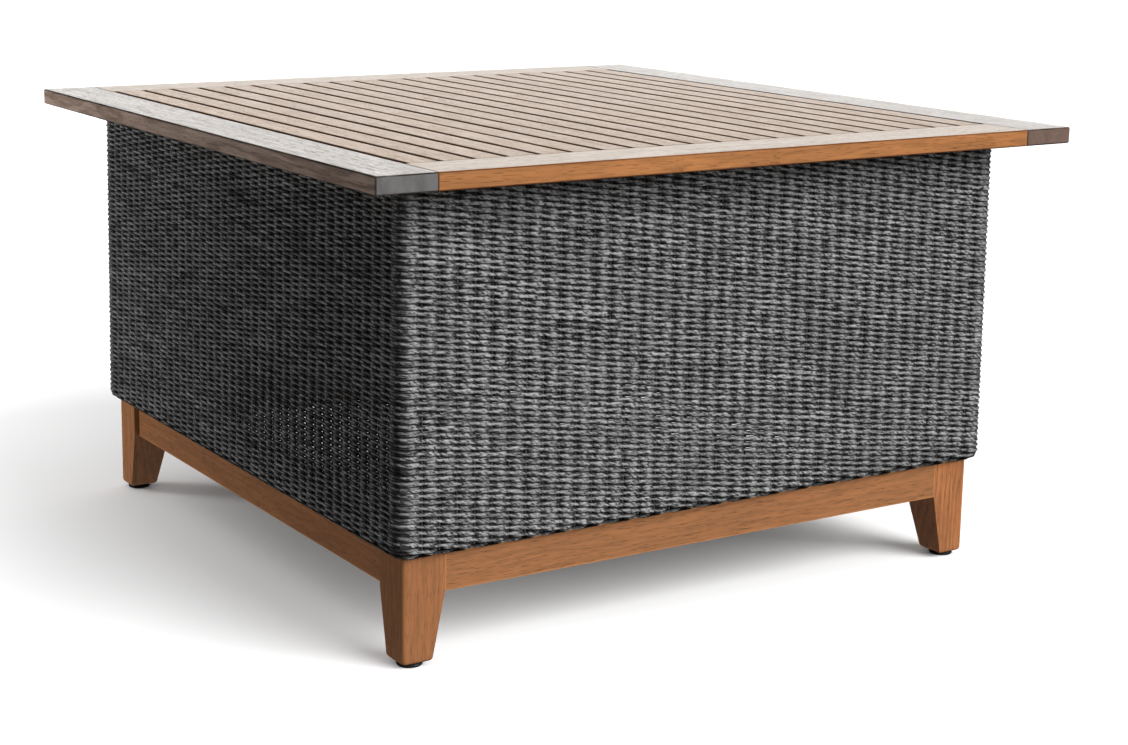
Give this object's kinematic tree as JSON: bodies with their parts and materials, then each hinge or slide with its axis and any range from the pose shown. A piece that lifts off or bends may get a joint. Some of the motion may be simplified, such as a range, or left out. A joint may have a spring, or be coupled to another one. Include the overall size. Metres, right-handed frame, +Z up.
{
  "type": "wicker coffee table",
  "caption": "Square outdoor coffee table: slatted wooden top on a hollow woven body with a tube frame, on a wooden base with tapered legs and levelling glides.",
  "frame": {"origin": "on the floor under the middle of the top", "axes": "+Z up, +X to the right along the front side, -Y out of the front; the slats run along Y"},
  "size_m": [0.914, 0.914, 0.527],
  "materials": {
    "top_wood": "weathered grey-brown open-grained hardwood, sanded, unvarnished",
    "rail_wood": "oiled golden-brown hardwood, satin",
    "batten_wood": "plain planed hardwood",
    "base_wood": "oiled medium-brown hardwood, satin",
    "frame_aluminium": "powder-coated charcoal square tube",
    "wicker": "charcoal-grey synthetic round strand with fine lengthwise streaks, satin",
    "insert_brass": "turned",
    "glide_plastic": "black moulded plastic"
  },
  "bodies": {
    "table": {"base_rail_back": "base_wood", "base_rail_front": "base_wood", "base_rail_left": "base_wood", "base_rail_right": "base_wood", "frame_bottom_tube_back": "frame_aluminium", "frame_bottom_tube_front": "frame_aluminium", "frame_bottom_tube_left": "frame_aluminium", "frame_bottom_tube_right": "frame_aluminium", "frame_post_back_left": "frame_aluminium", "frame_post_back_right": "frame_aluminium", "frame_post_front_left": "frame_aluminium", "frame_post_front_right": "frame_aluminium", "frame_top_tube_back": "frame_aluminium", "frame_top_tube_front": "frame_aluminium", "frame_top_tube_left": "frame_aluminium", "frame_top_tube_right": "frame_aluminium", "glide_insert_back_left": "insert_brass", "glide_insert_back_right": "insert_brass", "glide_insert_front_left": "insert_brass", "glide_insert_front_right": "insert_brass", "leg_back_left": "base_wood", "leg_back_right": "base_wood", "leg_front_left": "base_wood", "leg_front_right": "base_wood", "slat_01": "top_wood", "slat_02": "top_wood", "slat_03": "top_wood", "slat_04": "top_wood", "slat_05": "top_wood", "slat_06": "top_wood", "slat_07": "top_wood", "slat_08": "top_wood", "slat_09": "top_wood", "slat_10": "top_wood", "slat_11": "top_wood", "slat_12": "top_wood", "slat_13": "top_wood", "slat_14": "top_wood", "slat_15": "top_wood", "slat_16": "top_wood", "slat_17": "top_wood", "slat_18": "top_wood", "slat_19": "top_wood", "slat_20": "top_wood", "top_batten_back": "batten_wood", "top_batten_front": "batten_wood", "top_batten_middle": "batten_wood", "top_rail_back": "rail_wood", "top_rail_front": "rail_wood", "top_stile_left": "top_wood", "top_stile_right": "top_wood", "wicker_back": "wicker", "wicker_front": "wicker", "wicker_left": "wicker", "wicker_right": "wicker"},
    "foot_front_left": {"glide_front_left": "glide_plastic"},
    "foot_front_right": {"glide_front_right": "glide_plastic"},
    "foot_back_right": {"glide_back_right": "glide_plastic"},
    "foot_back_left": {"glide_back_left": "glide_plastic"}
  },
  "joints": [
    {"name": "level_front_left", "type": "slide", "parent": "table", "child": "foot_front_left", "axis": [0, 0, -1], "range_m": [0, 0.01]},
    {"name": "level_front_right", "type": "slide", "parent": "table", "child": "foot_front_right", "axis": [0, 0, -1], "range_m": [0, 0.01]},
    {"name": "level_back_right", "type": "slide", "parent": "table", "child": "foot_back_right", "axis": [0, 0, -1], "range_m": [0, 0.01]},
    {"name": "level_back_left", "type": "slide", "parent": "table", "child": "foot_back_left", "axis": [0, 0, -1], "range_m": [0, 0.01]}
  ]
}
